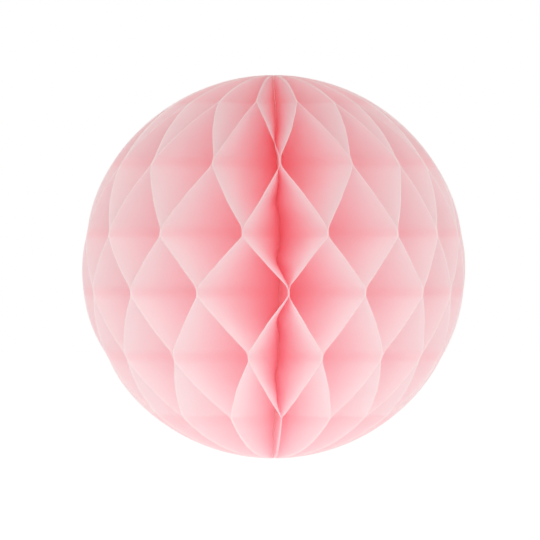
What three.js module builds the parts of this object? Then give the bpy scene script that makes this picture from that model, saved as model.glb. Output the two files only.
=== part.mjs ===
// A honeycomb paper ball: half-disc sheets of tissue, glued to one another in
// staggered bands, bound to a thread along their straight edges and fanned right
// round, so that the gaps between them open into diamond cells. Two card covers,
// one at each end of the stack, meet at the back and are taped face to face.
//
// Millimetres, +Z up. The origin is the centre of the ball, the thread runs along
// Z and the front faces -Y. Azimuths are in degrees from the front towards +X.

import * as THREE from 'three';

// The ball
const BALL_RADIUS = 100;
const SHEET_COUNT = 32;
const POLE_WIDTH = 2; // width of a sheet at its two ends, beside the thread

// Thicknesses
const TISSUE = 0.1;
const GLUE = 0.1;
const COVER_BOARD = 0.4;
const SEAM_TAPE = 0.2;
const SEAM_FIT = 0.05; // clearance between the tape and each cover

// Glue bands, which run level across each sheet
const BAND_PITCH = 33.3;
const BAND_WIDTH = 4.7;
const BAND_CENTRE = 3.75; // height midway between two bands
const LOW_BAND = 0; // the first band above BAND_CENTRE sits low by LOW_BAND_DROP
const LOW_BAND_DROP = 2.9;
const LOOSE_END_OPENING = 0.15; // share of a cell that opens again beyond the last band

// How evenly the fan has been opened
const FAN_TURN = 0.1;
const FAN_WARP = [
  { waves: 1, swing: 3.1, phase: 160 },
  { waves: 2, swing: 6, phase: 25 },
];
const CROWN_GATHER = 5.4; // azimuth by which the top cells lean to the front and the back
const CROWN_FOOT = 54; // height where the lean starts
const CROWN_HEAD = 87; // height where it is complete

// The spine that the straight edges meet at
const THREAD_RADIUS = 0.9;
const THREAD_SIDES = 10;
const THREAD_STEPS = 24;
const SPINE_SLACK = 1.05; // room round the thread over what the paper needs
const SPINE_BOW = 2.7; // sideways bow of the thread at mid height

// Strips of double-sided tape between the covers
const TAPE_WIDTH = 12;
const TAPE_LENGTH = 50;
const TAPE_INSET = 14; // from the thread
const TAPE_HEIGHT = 45; // of a strip's middle above or below the centre

const LEVEL_STEP = 8; // longest step of a sheet's curved edge

const { clamp, degToRad, inverseLerp, lerp } = THREE.MathUtils;
const UP = new THREE.Vector3(0, 0, 1);

const endRadius = () => SPINE_RADIUS + POLE_WIDTH;
const rimRadius = (z) => Math.sqrt(BALL_RADIUS ** 2 - z ** 2);

// From the middle of the seam to the middle of a cover, and to the middle of the sheet glued to it
const COVER_OFFSET = SEAM_TAPE / 2 + SEAM_FIT + COVER_BOARD / 2;
const SEAM_SHEET_OFFSET = COVER_OFFSET + COVER_BOARD / 2 + GLUE + TISSUE / 2;
// From the middle of a glued gap to the middle of the sheet on either side
const SHEET_OFFSET = (GLUE + TISSUE) / 2;

// The stack's straight edges lie side by side round this circle
const SPINE_RADIUS =
  (SPINE_SLACK * (SHEET_COUNT * (TISSUE + GLUE) + 2 * SEAM_SHEET_OFFSET)) / (2 * Math.PI);
const END_HEIGHT = Math.sqrt(BALL_RADIUS ** 2 - endRadius() ** 2);

// Level directions at an azimuth: away from the thread, and across towards a larger azimuth
const outward = (angle) => new THREE.Vector3(Math.sin(angle), -Math.cos(angle), 0);
const across = (angle) => new THREE.Vector3(Math.cos(angle), Math.sin(angle), 0);

// Middle of the thread at a height
function spineAt(z) {
  const bow = SPINE_BOW * Math.cos((Math.PI * z) / (2 * BALL_RADIUS));
  return new THREE.Vector3(bow, 0, z);
}

// Azimuth in radians of the middle of a gap. Gap 0 and gap SHEET_COUNT are both the seam.
function gapAngle(gap, z) {
  const turn = 2 * Math.PI * (gap / SHEET_COUNT - 0.5);
  let angle = turn + degToRad(FAN_TURN);
  for (const { waves, swing, phase } of FAN_WARP) {
    angle += degToRad(swing) * Math.sin(waves * turn + degToRad(phase));
  }
  const lift = clamp(inverseLerp(CROWN_FOOT, CROWN_HEAD, z), 0, 1);
  return angle - degToRad(CROWN_GATHER) * lift * Math.sin(angle);
}

// Glue bands from the lowest up. A band closes the odd gaps (fold 1) or the even ones (fold 0).
function glueBands() {
  const reach = BALL_RADIUS - BAND_WIDTH;
  const heightOf = (i) => BAND_CENTRE + (i + 0.5) * BAND_PITCH - (i === LOW_BAND ? LOW_BAND_DROP : 0);
  const bands = [];
  const lowest = Math.ceil((-reach - BAND_CENTRE) / BAND_PITCH - 0.5);
  for (let i = lowest; heightOf(i) <= reach; i++) {
    bands.push({ z: heightOf(i), fold: i % 2 === 0 ? 1 : 0 });
  }
  return bands;
}

// Heights where the folds of every sheet turn, with the fold there
function foldKnots() {
  const bands = glueBands();
  const loosened = ({ fold }) => lerp(fold, 1 - fold, LOOSE_END_OPENING);
  return [
    { z: -END_HEIGHT, fold: loosened(bands[0]) },
    ...bands.flatMap(({ z, fold }) => [
      { z: z - BAND_WIDTH / 2, fold },
      { z: z + BAND_WIDTH / 2, fold },
    ]),
    { z: END_HEIGHT, fold: loosened(bands[bands.length - 1]) },
  ];
}

// The same, with levels added so that the curved edge is smooth
function sheetLevels() {
  const knots = foldKnots();
  const levels = [knots[0]];
  for (let i = 1; i < knots.length; i++) {
    const [low, high] = [knots[i - 1], knots[i]];
    const [from, to] = [low, high].map(({ z }) => Math.asin(z / BALL_RADIUS));
    const steps = Math.ceil((BALL_RADIUS * (to - from)) / LEVEL_STEP);
    for (let step = 1; step <= steps; step++) {
      const z = BALL_RADIUS * Math.sin(lerp(from, to, step / steps));
      levels.push({ z, fold: lerp(low.fold, high.fold, inverseLerp(low.z, high.z, z)) });
    }
  }
  return levels;
}

const LEVELS = sheetLevels();

// Closed solid of a leaf of paper. Each row is a level line from inner to outer, and rows go up.
function leafGeometry(rows, thickness) {
  const positions = [];
  for (const { inner, outer } of rows) {
    const side = UP.clone().cross(outer.clone().sub(inner)).setLength(thickness / 2);
    for (const corner of [
      inner.clone().sub(side),
      outer.clone().sub(side),
      inner.clone().add(side),
      outer.clone().add(side),
    ]) {
      positions.push(...corner.toArray());
    }
  }
  const [backInner, backOuter, frontInner, frontOuter] = [0, 1, 2, 3];
  const at = (row, corner) => 4 * row + corner;
  const index = [];
  const quad = (a, b, c, d) => index.push(a, b, c, a, c, d);
  for (let row = 0; row + 1 < rows.length; row++) {
    const next = row + 1;
    // Both faces are split along the same diagonal, so the leaf keeps its thickness where it twists
    quad(at(row, frontInner), at(next, frontInner), at(next, frontOuter), at(row, frontOuter));
    quad(at(next, backOuter), at(next, backInner), at(row, backInner), at(row, backOuter));
    quad(at(row, backOuter), at(row, frontOuter), at(next, frontOuter), at(next, backOuter));
    quad(at(row, frontInner), at(row, backInner), at(next, backInner), at(next, frontInner));
  }
  const top = rows.length - 1;
  quad(at(top, backInner), at(top, backOuter), at(top, frontOuter), at(top, frontInner));
  quad(at(0, frontInner), at(0, frontOuter), at(0, backOuter), at(0, backInner));
  const geometry = new THREE.BufferGeometry();
  geometry.setAttribute('position', new THREE.Float32BufferAttribute(positions, 3));
  geometry.setIndex(index);
  geometry.computeVertexNormals();
  return geometry;
}

// Where a sheet lies against a gap: on its near side (+1) if the gap comes before the sheet
function restInGap(gap, sheet, z) {
  const atSeam = gap === 0 || gap === SHEET_COUNT;
  const offset = atSeam ? SEAM_SHEET_OFFSET : SHEET_OFFSET;
  return { angle: gapAngle(gap, z), offset: gap < sheet ? offset : -offset };
}

// Place of a sheet's straight edge round the thread
function slotAngle(sheet) {
  const beside = Math.asin(SEAM_SHEET_OFFSET / SPINE_RADIUS);
  const share = (sheet - 1) / (SHEET_COUNT - 1);
  return gapAngle(0, 0) + lerp(beside, 2 * Math.PI - beside, share);
}

// A tissue sheet, numbered from 1, zigzags between the gap before it and the gap after it
function tissueSheet(sheet) {
  const evenGap = sheet % 2 === 0 ? sheet : sheet - 1;
  const oddGap = sheet % 2 === 0 ? sheet - 1 : sheet;
  const rows = LEVELS.map(({ z, fold }) => {
    const even = restInGap(evenGap, sheet, z);
    const odd = restInGap(oddGap, sheet, z);
    const angle = lerp(even.angle, odd.angle, fold);
    const outer = outward(angle).multiplyScalar(rimRadius(z)).setZ(z);
    outer.addScaledVector(across(angle), lerp(even.offset, odd.offset, fold));
    const inner = spineAt(z).addScaledVector(outward(slotAngle(sheet)), SPINE_RADIUS);
    return { inner, outer };
  });
  return leafGeometry(rows, TISSUE);
}

// Level line of the seam at a height and a distance to one side of its middle
function seamLine(z, offset) {
  const angle = gapAngle(0, z);
  const shift = across(angle).multiplyScalar(offset);
  const inner = spineAt(z).addScaledVector(outward(angle), Math.sqrt(SPINE_RADIUS ** 2 - offset ** 2));
  const outer = outward(angle).multiplyScalar(rimRadius(z)).setZ(z);
  return { inner: inner.add(shift), outer: outer.add(shift) };
}

function coverBoard(side) {
  const rows = LEVELS.map(({ z }) => seamLine(z, side * COVER_OFFSET));
  return leafGeometry(rows, COVER_BOARD);
}

function seamTape(side) {
  const rows = [];
  const steps = Math.ceil(TAPE_LENGTH / LEVEL_STEP);
  for (let step = 0; step <= steps; step++) {
    const z = side * TAPE_HEIGHT + TAPE_LENGTH * (step / steps - 0.5);
    const { inner, outer } = seamLine(z, 0);
    const along = outer.sub(inner).normalize();
    rows.push({
      inner: inner.clone().addScaledVector(along, TAPE_INSET),
      outer: inner.clone().addScaledVector(along, TAPE_INSET + TAPE_WIDTH),
    });
  }
  return leafGeometry(rows, SEAM_TAPE);
}

function spineThread() {
  const heights = Array.from({ length: THREAD_STEPS + 1 }, (_, i) =>
    lerp(-END_HEIGHT, END_HEIGHT, i / THREAD_STEPS),
  );
  const section = new THREE.Shape().absarc(0, 0, THREAD_RADIUS, 0, 2 * Math.PI);
  return new THREE.ExtrudeGeometry(section, {
    steps: THREAD_STEPS,
    curveSegments: THREAD_SIDES,
    extrudePath: new THREE.CatmullRomCurve3(heights.map(spineAt)),
  });
}

const ball = new THREE.Group();

function addPiece(name, geometry, color, roughness) {
  const material = new THREE.MeshStandardMaterial({ color, roughness, metalness: 0 });
  const mesh = new THREE.Mesh(geometry, material);
  mesh.name = name;
  ball.add(mesh);
}

const PINK_TISSUE = '#f3c6c9';
const PINK_CARD = '#eeb4ba';
const PINK_THREAD = '#e9b3b7';
const CLEAR_TAPE = '#f4efe6';

for (let sheet = 1; sheet <= SHEET_COUNT; sheet++) {
  const number = String(sheet).padStart(2, '0');
  addPiece(`tissue_sheet_${number}`, tissueSheet(sheet), PINK_TISSUE, 0.9);
}
addPiece('cover_board_left', coverBoard(1), PINK_CARD, 0.8);
addPiece('cover_board_right', coverBoard(-1), PINK_CARD, 0.8);
addPiece('seam_tape_upper', seamTape(1), CLEAR_TAPE, 0.4);
addPiece('seam_tape_lower', seamTape(-1), CLEAR_TAPE, 0.4);
addPiece('spine_thread', spineThread(), PINK_THREAD, 0.9);

export default ball;
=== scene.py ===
"""Honeycomb paper ball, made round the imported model.

Tissue half-discs hang on a thread along their straight edges. They are glued to one another in
staggered bands and fanned right round, so that the gaps between them open into diamond cells.
Two card covers, one at each end of the stack, meet at the back. Metres, +Z up, front to -Y.
"""
import itertools
import math

import bpy
import numpy as np
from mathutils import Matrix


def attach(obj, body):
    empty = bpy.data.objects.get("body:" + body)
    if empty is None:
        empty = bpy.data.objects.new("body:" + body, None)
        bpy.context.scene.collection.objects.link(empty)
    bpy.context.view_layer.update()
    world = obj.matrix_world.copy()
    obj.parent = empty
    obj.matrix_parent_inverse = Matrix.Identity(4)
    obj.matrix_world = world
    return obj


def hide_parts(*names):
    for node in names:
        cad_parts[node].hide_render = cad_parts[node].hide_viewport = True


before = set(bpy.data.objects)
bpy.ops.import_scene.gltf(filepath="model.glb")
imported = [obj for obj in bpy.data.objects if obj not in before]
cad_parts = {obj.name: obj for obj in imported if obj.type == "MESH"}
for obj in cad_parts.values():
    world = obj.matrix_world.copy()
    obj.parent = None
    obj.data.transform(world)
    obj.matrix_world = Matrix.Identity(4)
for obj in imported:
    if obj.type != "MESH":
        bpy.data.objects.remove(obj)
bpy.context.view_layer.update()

MM = 0.001

# The ball, as in the construction model
BALL_RADIUS = 100 * MM
SHEET_COUNT = sum(name.startswith("tissue_sheet_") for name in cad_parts)
POLE_WIDTH = 2 * MM  # of a sheet at its two ends
TISSUE = 0.1 * MM
GLUE = 0.1 * MM
COVER_BOARD = 0.4 * MM
SEAM_TAPE = 0.2 * MM
SEAM_FIT = 0.05 * MM  # between the tape and each cover
BAND_PITCH = 33.3 * MM
BAND_WIDTH = 4.7 * MM
BAND_CENTRE = 3.75 * MM  # height midway between two bands
LOW_BAND = 0  # the first band above that, which sits low
LOW_BAND_DROP = 2.9 * MM
LOOSE_END_OPENING = 0.15  # share by which a cell opens again beyond the last band

# How evenly the fan has been opened
FAN_TURN = math.radians(0.1)
FAN_WARP = (  # waves round the ball, swing, phase
    (1, math.radians(3.1), math.radians(160)),
    (2, math.radians(6.0), math.radians(25)),
)
CROWN_GATHER = math.radians(5.4)  # lean of the top cells to the front and the back
CROWN_FOOT = 54 * MM  # height where the lean starts
CROWN_HEAD = 87 * MM  # height where it is complete
# Glue lines that sit a little off the even fan: (band from the lowest, gap, turn in degrees)
PULLED_BANDS = (
    (4, 16, -1.4), (4, 10, 1.2), (4, 14, 0.8), (5, 15, -1.2), (5, 17, -1.8), (5, 21, -1.7),
    (3, 13, -0.7), (3, 19, 0.9), (2, 14, -0.8), (2, 16, 0.6), (2, 20, 1.2),
    (1, 9, 3.0), (1, 15, 0.9), (1, 19, -0.6), (0, 14, 2.0), (0, 18, -0.7), (0, 20, -1.0),
)

# The spine, where the straight edges meet the thread. It is wider than in the construction model
SPINE_RADIUS = 1.7 * MM
SPINE_BOW = 2.7 * MM
RIPPLE_LENGTH = 30.5 * MM
RIPPLES = ((1, 0.8 * MM, 19.0 * MM), (2, 0.4 * MM, 42.0 * MM))  # waves, height, crest
FRONT_SPREAD = 0.45  # share by which the edges stand wider apart in front
BOWED_GAP = 16  # the front pair of sheets, which bulges to one side
SIDE_BOWS = ((2, 3.2 * MM), (0, 1.5 * MM))  # band, bulge
SIDE_BOW_LEAN = 0.6  # below 1, the bulge is fullest nearer the spine
STRAND_RADIUS = 0.3 * MM
STRAND_FIT = 0.98  # thickness of a strand as a share of the room it has
STRAND_SIDES = 8
TWIST_LENGTH = 3.2 * MM
THREAD_FORWARD = 0.95 * MM  # how far it lies in front of the middle of the spine
THREAD_STEPS = 420

# The softness of the paper
FOLD_SOFTNESS = 0.6 * MM  # a fold takes this much to either side to turn
RIM_FLARE = 0.13 * MM  # glued rims part by this much each
FLARE_FOCUS = 8  # the higher, the closer the parting keeps to the rim
PILLOW = 0.7 * MM  # most that a free wall bulges
PILLOW_SPAN = 1.3  # length of the bulge, in depths of a sheet
FINE_STEP = 0.45 * MM  # between level lines near a fold
PLAIN_STEP = 2.4 * MM  # and elsewhere
COLUMNS = 16
COLUMN_CROWDING = 0.6  # 0 spaces the columns evenly, 1 crowds them most at both ends
SHARP_FOLD = math.radians(50)
SHARP_STRAND = math.radians(60)

# Colours. The tissue is written pale, because each reflection between its sheets deepens it
SHOW_THROUGH = 0.42  # share of the light that passes each face of a sheet
# The pink dye, painted paler low down, where more light comes from below, and deeper up high: painted light
# and painted shade.
LOW_DYE_PAINTED_LIGHT = (1.0, 0.958, 0.968)
HIGH_DYE_PAINTED_SHADE = (1.0, 0.917, 0.931)
# The paper's pale cut edge, also a painted highlight where the rim catches the light.
CUT_EDGE_AND_RIM_HIGHLIGHT = (1.0, 0.975, 0.975)
RIM_HIGHLIGHT_WIDTH = 0.4 * MM
GLUE_STAIN = (1.0, 0.986, 0.987)
GLUE_FADE = 1.9 * MM
CLOUD_DRIFT = 40 * MM  # height over which the painted light and shade wander
BUMP_DEPTH = 0.05 * MM
FLOOR_PAINT = (0.9, 0.9, 0.9)
WHITE = (1, 1, 1, 1)

# The photograph's framing, in its own pixels
FRAME_SIDE = 540
BALL_CENTRE_PIXEL = (273.6, 266.78)
BALL_RADIUS_PIXELS = 191.56
CAMERA_DISTANCE = 3.0
SENSOR_WIDTH = 36.0  # millimetres, as Blender counts it
CLIP_END = 100
FLOOR_DROP = 0.16  # from the ball's centre
FLOOR_SIDE = 16

# Light, where 1 is plain white
ROOM_LIGHT = 0.5  # level with the ball, at the sides and back
FRONT_LIGHT = 0.82  # more than that in front
LOW_LIGHT = 0.1  # more than that below, and as much less above
BACKDROP_LIGHT = 1.2  # more in the middle of the backdrop, chosen for the look of the back
BACKDROP_FOCUS = 6  # the higher, the smaller that middle
FLOOR_GLOW = 0.27  # what the floor adds to the light that falls on it
SEEN_GLOW = 0.22  # more on the floor that the camera sees
LIGHT_TINT = (1.0, 0.99, 0.965)  # a little warm
LIGHT_BOUNCES = 200


def outward(angle):
    """Level unit vectors away from the spine at azimuths from the front towards +X."""
    return np.stack([np.sin(angle), -np.cos(angle), np.zeros_like(angle)], axis=-1)


def across(angle):
    """Level unit vectors to the side of those, towards larger azimuths."""
    return np.stack([np.cos(angle), np.sin(angle), np.zeros_like(angle)], axis=-1)


END_HEIGHT = math.sqrt(BALL_RADIUS**2 - (SPINE_RADIUS + POLE_WIDTH) ** 2)
COVER_OFFSET = SEAM_TAPE / 2 + SEAM_FIT + COVER_BOARD / 2
SEAM_SHEET_OFFSET = COVER_OFFSET + COVER_BOARD / 2 + GLUE + TISSUE / 2
SHEET_OFFSET = (GLUE + TISSUE) / 2


def glue_bands():
    """(height, fold) of each band from the lowest up: fold 1 closes the odd gaps, 0 the even ones."""
    reach = BALL_RADIUS - BAND_WIDTH
    first = math.ceil((-reach - BAND_CENTRE) / BAND_PITCH - 0.5)
    bands = []
    for i in itertools.count(first):
        z = BAND_CENTRE + (i + 0.5) * BAND_PITCH - (LOW_BAND_DROP if i == LOW_BAND else 0)
        if z > reach:
            return bands
        bands.append((z, 1.0 if i % 2 == 0 else 0.0))


BANDS = glue_bands()


def fold_knots():
    """Heights where the folds turn and the fold there, up the whole sheet."""
    low, high = BANDS[0][1], BANDS[-1][1]
    knots = [(-END_HEIGHT, low + (1 - 2 * low) * LOOSE_END_OPENING)]
    for z, fold in BANDS:
        knots += [(z - BAND_WIDTH / 2, fold), (z + BAND_WIDTH / 2, fold)]
    knots.append((END_HEIGHT, high + (1 - 2 * high) * LOOSE_END_OPENING))
    return np.array(knots)


def fold_at(z):
    """The fold at each height: flat facets, whose rims run straight from knot to knot, and soft knots."""
    heights, folds = fold_knots().T
    rims = np.sqrt(BALL_RADIUS**2 - heights**2)
    fold = np.interp(z, heights, folds * rims) / np.interp(z, heights, rims)
    steps = np.diff(folds) / np.diff(heights)
    leaving, arriving = steps * rims[1:] / rims[:-1], steps * rims[:-1] / rims[1:]
    for i in range(1, len(heights) - 1):
        reach = np.clip(FOLD_SOFTNESS - np.abs(z - heights[i]), 0, None)
        fold = fold + (leaving[i] - arriving[i - 1]) * reach**2 / (4 * FOLD_SOFTNESS)
    return np.clip(fold, 0, 1)


def sheet_levels():
    """Heights of a sheet's level lines: close together at the folds, and even along the curved edge."""
    levels = [-END_HEIGHT]
    knots = fold_knots()[1:-1, 0]
    while levels[-1] < END_HEIGHT:
        z = levels[-1]
        near = np.min(np.abs(knots - z)) < FOLD_SOFTNESS + FINE_STEP
        arc = math.asin(z / BALL_RADIUS) + (FINE_STEP if near else PLAIN_STEP) / BALL_RADIUS
        levels.append(min(BALL_RADIUS * math.sin(min(arc, math.pi / 2)), END_HEIGHT))
    return np.array(levels)


LEVELS = sheet_levels()
FOLDS = fold_at(LEVELS)
RIM_RADII = np.sqrt(BALL_RADIUS**2 - LEVELS**2)


def gap_angle(gap, z):
    """Azimuth of the middle of a gap at each height. Gap 0 and gap SHEET_COUNT are both the seam."""
    turn = 2 * math.pi * (gap / SHEET_COUNT - 0.5)
    angle = turn + FAN_TURN + sum(swing * math.sin(n * turn + phase) for n, swing, phase in FAN_WARP)
    lift = np.clip((z - CROWN_FOOT) / (CROWN_HEAD - CROWN_FOOT), 0, 1)
    angle = angle - CROWN_GATHER * lift * math.sin(angle)
    for band, pulled, degrees in PULLED_BANDS:
        if pulled == gap:
            away = np.clip(np.abs(z - BANDS[band][0]) / BAND_PITCH, 0, 1)
            angle = angle + math.radians(degrees) * np.cos(away * math.pi / 2) ** 2
    return angle


def spine_at(z):
    """Middle of the ring of straight edges at each height."""
    bow = SPINE_BOW * np.cos(math.pi * z / (2 * BALL_RADIUS))
    fade = np.clip(1 - (z / END_HEIGHT) ** 2, 0, 1)
    ripple = sum(
        height * np.cos(2 * math.pi * n * (z - crest) / RIPPLE_LENGTH) for n, height, crest in RIPPLES
    )
    return np.stack([bow + ripple * fade, np.zeros_like(z), z], axis=-1)


def slot_angle(gap):
    """Azimuth round the spine where the edges beside a gap are held, wider apart in front."""
    beside = math.asin(SEAM_SHEET_OFFSET / SPINE_RADIUS) - SHEET_OFFSET / SPINE_RADIUS
    seam = float(gap_angle(0, 0.0))
    angle = seam + beside + (2 * math.pi - 2 * beside) * gap / SHEET_COUNT
    return angle + FRONT_SPREAD * math.sin(angle)


def rest_in_gap(gap, sheet):
    """How a sheet lies against a gap: its azimuth, its distance to the side, and its slot at the spine."""
    side = 1 if gap < sheet else -1
    offset = SEAM_SHEET_OFFSET if gap in (0, SHEET_COUNT) else SHEET_OFFSET
    slot = slot_angle(gap) + side * SHEET_OFFSET / SPINE_RADIUS
    return gap_angle(gap, LEVELS), side * offset, slot


def mesh_object(name, points, faces, sharp_angle, material):
    mesh = bpy.data.meshes.new(name)
    mesh.from_pydata(points, [], faces)
    mesh.shade_smooth()
    mesh.set_sharp_from_angle(angle=sharp_angle)
    mesh.materials.append(material)
    piece = bpy.data.objects.new(name, mesh)
    bpy.context.collection.objects.link(piece)
    return piece


def leaf(name, middle, thickness, material):
    """A closed leaf of paper from its middle surface, rows of points from the spine to the rim."""
    rows, columns = middle.shape[:2]
    side = np.cross((0, 0, 1), middle[:, -1] - middle[:, 0])
    side *= thickness / 2 / np.linalg.norm(side, axis=1, keepdims=True)
    points = np.concatenate([middle - side[:, None], middle + side[:, None]]).reshape(-1, 3)
    grid = np.arange(2 * rows * columns).reshape(2, rows, columns)
    back, front = grid

    def strip(a, b):
        return np.stack([a[:-1], a[1:], b[1:], b[:-1]], axis=-1)

    faces = [
        strip(front[:, :-1], front[:, 1:]).reshape(-1, 4),
        strip(back[:, 1:], back[:, :-1]).reshape(-1, 4),
        strip(front[:, -1], back[:, -1]),
        strip(back[:, 0], front[:, 0]),
        strip(back[0], front[0])[:, ::-1],
        strip(front[-1], back[-1])[:, ::-1],
    ]
    return mesh_object(name, points, np.concatenate(faces).tolist(), SHARP_FOLD, material)


def across_sheet():
    """Shares of the way from the spine to the rim, closer together at both ends."""
    even = np.linspace(0, 1, COLUMNS)
    return even - np.sin(2 * math.pi * even) / (2 * math.pi) * COLUMN_CROWDING


COLUMN_SHARES = across_sheet()


def tissue_middle(sheet):
    """Middle surface of a tissue sheet, which zigzags between the gap before it and the gap after it."""
    even_gap, odd_gap = (sheet, sheet - 1) if sheet % 2 == 0 else (sheet - 1, sheet)
    even_angle, even_offset, even_slot = rest_in_gap(even_gap, sheet)
    odd_angle, odd_offset, odd_slot = rest_in_gap(odd_gap, sheet)
    angle = even_angle + (odd_angle - even_angle) * FOLDS
    offset = even_offset + (odd_offset - even_offset) * FOLDS
    slot = even_slot + (odd_slot - even_slot) * FOLDS
    outer = outward(angle) * RIM_RADII[:, None] + np.array([0, 0, 1]) * LEVELS[:, None]
    inner = spine_at(LEVELS) + outward(slot) * SPINE_RADIUS
    share = COLUMN_SHARES[None, :, None]
    flare = RIM_FLARE * np.sign(offset)[:, None] * COLUMN_SHARES[None, :] ** FLARE_FOCUS
    aside = offset[:, None] * COLUMN_SHARES[None, :] + flare + pillow(sheet) + side_bow(sheet)
    return inner[:, None] * (1 - share) + outer[:, None] * share + across(angle)[:, None] * aside[..., None]


def pillow(sheet):
    """Sideways bulge of a sheet's free walls, none at the glue bands and the spine."""
    draw = np.random.default_rng(sheet)
    free = 4 * FOLDS * (1 - FOLDS)
    sway = np.interp(LEVELS, [z for z, _ in BANDS], draw.uniform(-1, 1, len(BANDS)))
    belly = np.sin(math.pi * COLUMN_SHARES / PILLOW_SPAN) ** 2
    return PILLOW * (free * sway)[:, None] * belly[None, :]


def side_bow(sheet):
    """The sideways bulge of the two sheets that are glued at the bowed gap, mostly near the spine."""
    if sheet not in (BOWED_GAP, BOWED_GAP + 1):
        return 0
    bulge = 0
    for band, most in SIDE_BOWS:
        away = np.clip(np.abs(LEVELS - BANDS[band][0]) / BAND_PITCH, 0, 1)
        bulge = bulge + most * np.cos(away * math.pi / 2) ** 2
    return ((1 - FOLDS) * bulge)[:, None] * np.sin(math.pi * COLUMN_SHARES**SIDE_BOW_LEAN)[None, :]


def seam_middle(offset):
    """Middle surface of a leaf that lies flat along the seam, at a distance to one side of it."""
    angle = gap_angle(0, LEVELS)
    inner = spine_at(LEVELS) + outward(angle) * math.sqrt(SPINE_RADIUS**2 - offset**2)
    outer = outward(angle) * RIM_RADII[:, None] + np.array([0, 0, 1]) * LEVELS[:, None]
    share = COLUMN_SHARES[None, :, None]
    return inner[:, None] * (1 - share) + outer[:, None] * share + across(angle)[:, None] * offset


def node(tree, kind, inputs=None, **settings):
    """Adds a shader node with its settings and its unlinked input values or incoming links."""
    made = tree.nodes.new(kind)
    for name, value in settings.items():
        setattr(made, name, value)
    for name, value in (inputs or {}).items():
        if isinstance(value, bpy.types.NodeSocket):
            tree.links.new(value, made.inputs[name])
        else:
            made.inputs[name].default_value = value
    return made


def new_material(name):
    material = bpy.data.materials.new(name)
    material.use_nodes = True
    material.node_tree.nodes.clear()
    return material, material.node_tree


def output(tree, surface):
    node(tree, "ShaderNodeOutputMaterial", {"Surface": surface.outputs[0]})


def arithmetic(tree, kind, first, second, third=0.0):
    return node(tree, "ShaderNodeMath", {0: first, 1: second, 2: third}, operation=kind).outputs[0]


def noise(tree, place, scale, detail):
    """Soft random grey, with the number of its waves in a metre and how many finer ones ride on them."""
    inputs = {"Vector": place, "Scale": scale, "Detail": detail}
    return node(tree, "ShaderNodeTexNoise", inputs).outputs["Fac"]


def share_between(tree, value, low, high):
    """0 where a value is low, 1 where it is high, and even in between."""
    inputs = {"Value": value, "From Min": low, "From Max": high}
    return node(tree, "ShaderNodeMapRange", inputs).outputs["Result"]


def blend(tree, share, first, second, kind="MIX"):
    """Goes from the first colour to the second, or with MULTIPLY to the product of both."""
    inputs = {"Factor": share, "A": first, "B": second}
    return node(tree, "ShaderNodeMix", inputs, data_type="RGBA", blend_type=kind).outputs["Result"]


def relief(tree, height, strength):
    inputs = {"Height": height, "Strength": strength, "Distance": BUMP_DEPTH}
    return node(tree, "ShaderNodeBump", inputs).outputs["Normal"]


def glue_tone(tree, height):
    """How far each height lies in a glue band, from 0 outside to 1 where the glue has soaked the paper."""
    share = share_between(tree, height, -BALL_RADIUS, BALL_RADIUS)
    ramp = node(tree, "ShaderNodeValToRGB", {"Fac": share})
    ramp.color_ramp.interpolation = "EASE"
    inner, outer = BAND_WIDTH / 2 - GLUE_FADE, BAND_WIDTH / 2 + GLUE_FADE
    stops = ramp.color_ramp.elements
    for z, _ in BANDS:
        for away, tone in ((-outer, 0), (-inner, 1), (inner, 1), (outer, 0)):
            stops.new(((z + away) / BALL_RADIUS + 1) / 2).color = (tone, tone, tone, 1)
    stops[0].color = stops[-1].color = (0, 0, 0, 1)
    return ramp.outputs["Color"]


def tissue_material():
    """Thin dyed tissue that light passes through, deeper at the glue. Its colour has painted light low down
    and painted shade up high, and a paler cut edge that also paints a highlight on the rim.
    """
    material, tree = new_material("pink_tissue")
    place = node(tree, "ShaderNodeTexCoord").outputs["Object"]
    height = node(tree, "ShaderNodeSeparateXYZ", {"Vector": place}).outputs["Z"]
    cloud = noise(tree, place, scale=60.0, detail=1.0)
    fibre = noise(tree, place, scale=1800.0, detail=2.0)
    # Painted light and shade: paler low down and deeper up high, wandering with the cloud noise.
    drift = arithmetic(tree, "MULTIPLY_ADD", cloud, CLOUD_DRIFT, height)
    painted_shade_upward = share_between(tree, drift, CLOUD_DRIFT / 2 - BALL_RADIUS, CLOUD_DRIFT / 2 + BALL_RADIUS)
    dye_painted_light_and_shade = blend(tree, painted_shade_upward, (*LOW_DYE_PAINTED_LIGHT, 1), (*HIGH_DYE_PAINTED_SHADE, 1))
    tone = blend(tree, glue_tone(tree, height), dye_painted_light_and_shade, (*GLUE_STAIN, 1), "MULTIPLY")
    # The pale cut edge at the rim, also a painted highlight of the rim catching light.
    from_centre = node(tree, "ShaderNodeVectorMath", {0: place}, operation="LENGTH").outputs["Value"]
    rim_highlight_share = share_between(
        tree, from_centre, BALL_RADIUS - 2 * RIM_HIGHLIGHT_WIDTH, BALL_RADIUS - RIM_HIGHLIGHT_WIDTH
    )
    colour = blend(tree, rim_highlight_share, tone, (*CUT_EDGE_AND_RIM_HIGHLIGHT, 1))
    surface = {"Color": colour, "Normal": relief(tree, fibre, strength=0.12)}
    off = node(tree, "ShaderNodeBsdfDiffuse", surface)
    through = node(tree, "ShaderNodeBsdfTranslucent", {"Color": colour})
    both = node(tree, "ShaderNodeMixShader", {0: SHOW_THROUGH, 1: off.outputs[0], 2: through.outputs[0]})
    output(tree, both)
    return material


def mottled_material(name, scale, detail, darker, lighter, roughness, bump=None):
    """A material whose tone, and with a bump its surface, vary a little with fine noise."""
    material, tree = new_material(name)
    grain = noise(tree, node(tree, "ShaderNodeTexCoord").outputs["Object"], scale, detail)
    surface = {"Base Color": blend(tree, grain, (*darker, 1), (*lighter, 1)), "Roughness": roughness}
    if bump:
        surface["Normal"] = relief(tree, grain, bump)
    output(tree, node(tree, "ShaderNodeBsdfPrincipled", surface))
    return material


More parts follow.
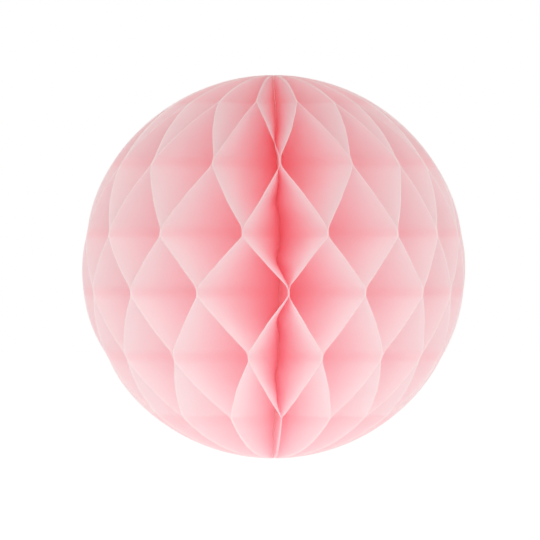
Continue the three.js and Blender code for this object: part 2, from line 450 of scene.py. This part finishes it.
def card_material():
    """Dyed card of the covers, with the faint cloudiness of pressed pulp."""
    return mottled_material(
        "pink_card",
        scale=400.0,
        detail=5.0,
        darker=(0.99, 0.72, 0.75),
        lighter=(0.995, 0.76, 0.79),
        roughness=0.7,
        bump=0.2,
    )


def tape_material():
    """Clear double-sided tape, yellowed a little by its adhesive."""
    return mottled_material(
        "clear_tape",
        scale=250.0,
        detail=2.0,
        darker=(0.86, 0.82, 0.74),
        lighter=(0.90, 0.86, 0.78),
        roughness=0.35,
    )


def thread_material():
    """Twisted cotton thread, greyer than the paper."""
    return mottled_material(
        "pink_thread",
        scale=3000.0,
        detail=3.0,
        darker=(0.93, 0.83, 0.82),
        lighter=(0.97, 0.89, 0.88),
        roughness=0.9,
        bump=0.4,
    )


def make_sheets():
    material = tissue_material()
    for sheet in range(1, SHEET_COUNT + 1):
        piece = leaf(f"tissue_leaf_{sheet:02d}", tissue_middle(sheet), TISSUE, material)
        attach(piece, "root")
        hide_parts(f"tissue_sheet_{sheet:02d}")


def make_covers():
    material = card_material()
    for side, hand in ((1, "left"), (-1, "right")):
        piece = leaf(f"cover_card_{hand}", seam_middle(side * COVER_OFFSET), COVER_BOARD, material)
        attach(piece, "root")
        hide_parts(f"cover_board_{hand}")


def make_thread():
    """Two strands twisted round each other along the spine, just behind the front edges."""
    z = np.linspace(-END_HEIGHT, END_HEIGHT, THREAD_STEPS)
    forward = THREAD_FORWARD * np.cos(math.pi * z / (2 * BALL_RADIUS))
    middle = spine_at(z) - forward[:, None] * np.array([0, 1, 0])
    ring = np.linspace(0, 2 * math.pi, STRAND_SIDES, endpoint=False)
    points, faces = [], []
    for strand in range(2):
        twist = 2 * math.pi * z / TWIST_LENGTH + math.pi * strand
        centre = middle + outward(twist) * STRAND_RADIUS
        tube = centre[:, None] + outward(ring)[None] * STRAND_RADIUS * STRAND_FIT
        index = np.arange(THREAD_STEPS * STRAND_SIDES).reshape(THREAD_STEPS, STRAND_SIDES)
        index += strand * index.size
        turned = np.roll(index, -1, axis=1)
        walls = np.stack([index[:-1], turned[:-1], turned[1:], index[1:]], axis=-1)
        faces += walls.reshape(-1, 4).tolist()
        faces += [index[0][::-1].tolist(), index[-1].tolist()]
        points.append(tube.reshape(-1, 3))
    points = np.concatenate(points)
    piece = mesh_object("twisted_thread", points, faces, SHARP_STRAND, thread_material())
    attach(piece, "root")
    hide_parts("spine_thread")


def finish_tapes():
    material = tape_material()
    for name in ("seam_tape_upper", "seam_tape_lower"):
        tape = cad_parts[name]
        tape.data.materials.clear()
        tape.data.materials.append(material)


def make_camera():
    """Far off and level, so that the ball sits where the photograph has it."""
    pixel = BALL_RADIUS / BALL_RADIUS_PIXELS
    lens = bpy.data.cameras.new("camera")
    lens.sensor_width = SENSOR_WIDTH
    lens.lens = SENSOR_WIDTH * CAMERA_DISTANCE / (FRAME_SIDE * pixel)
    lens.clip_end = CLIP_END
    camera = bpy.data.objects.new("camera", lens)
    right = (BALL_CENTRE_PIXEL[0] - FRAME_SIDE / 2) * pixel
    up = (FRAME_SIDE / 2 - BALL_CENTRE_PIXEL[1]) * pixel
    camera.location = (-right, -CAMERA_DISTANCE, -up)
    camera.rotation_euler = (math.pi / 2, 0, 0)
    bpy.context.collection.objects.link(camera)
    bpy.context.scene.camera = camera


def make_floor():
    """A plain white light table that keeps the ball's shadow."""
    bpy.ops.mesh.primitive_plane_add(size=FLOOR_SIDE, location=(0, 0, -FLOOR_DROP))
    floor = bpy.context.object
    floor.name = "floor"
    material, tree = new_material("floor_white")
    path = node(tree, "ShaderNodeLightPath").outputs
    seen = arithmetic(tree, "MAXIMUM", path["Is Camera Ray"], path["Is Glossy Ray"])
    seen = arithmetic(tree, "MAXIMUM", seen, path["Is Transmission Ray"])
    glow = arithmetic(tree, "MULTIPLY_ADD", seen, SEEN_GLOW, FLOOR_GLOW)
    paint = node(tree, "ShaderNodeBsdfDiffuse", {"Color": (*FLOOR_PAINT, 1)})
    light = node(tree, "ShaderNodeEmission", {"Color": WHITE, "Strength": glow})
    output(tree, node(tree, "ShaderNodeAddShader", {0: paint.outputs[0], 1: light.outputs[0]}))
    material.cycles.emission_sampling = "NONE"
    floor.data.materials.append(material)


def make_world():
    """A white room, brighter in front and below, before a lit backdrop. The camera sees it plain white."""
    world = bpy.data.worlds.new("studio")
    world.use_nodes = True
    tree = world.node_tree
    tree.nodes.clear()
    towards = node(tree, "ShaderNodeTexCoord").outputs["Generated"]
    axes = node(tree, "ShaderNodeSeparateXYZ", {"Vector": towards}).outputs
    level = arithmetic(tree, "MULTIPLY_ADD", axes["Z"], -LOW_LIGHT, ROOM_LIGHT)
    in_front = arithmetic(tree, "MINIMUM", axes["Y"], 0.0)
    level = arithmetic(tree, "MULTIPLY_ADD", in_front, -FRONT_LIGHT, level)
    behind = arithmetic(tree, "MAXIMUM", axes["Y"], 0.0)
    behind = arithmetic(tree, "POWER", behind, BACKDROP_FOCUS)
    level = arithmetic(tree, "MULTIPLY_ADD", behind, BACKDROP_LIGHT, level)
    path = node(tree, "ShaderNodeLightPath").outputs
    room = node(tree, "ShaderNodeBackground", {"Color": (*LIGHT_TINT, 1), "Strength": level})
    backdrop = node(tree, "ShaderNodeBackground", {"Color": WHITE, "Strength": 1.0})
    views = {0: path["Is Camera Ray"], 1: room.outputs[0], 2: backdrop.outputs[0]}
    both = node(tree, "ShaderNodeMixShader", views)
    node(tree, "ShaderNodeOutputWorld", {"Surface": both.outputs[0]})
    world.cycles.sampling_method = "NONE"
    bpy.context.scene.world = world


def set_render():
    """Enough bounces for light to pass between the pale sheets until it is pink.

    The look rests on them: with only a few, the ball turns dark and grey.
    """
    scene = bpy.context.scene
    scene.view_settings.view_transform = "Standard"
    scene.cycles.max_bounces = LIGHT_BOUNCES
    scene.cycles.diffuse_bounces = LIGHT_BOUNCES
    scene.cycles.transmission_bounces = LIGHT_BOUNCES


make_camera()
make_sheets()
make_covers()
make_thread()
finish_tapes()
make_floor()
make_world()
set_render()
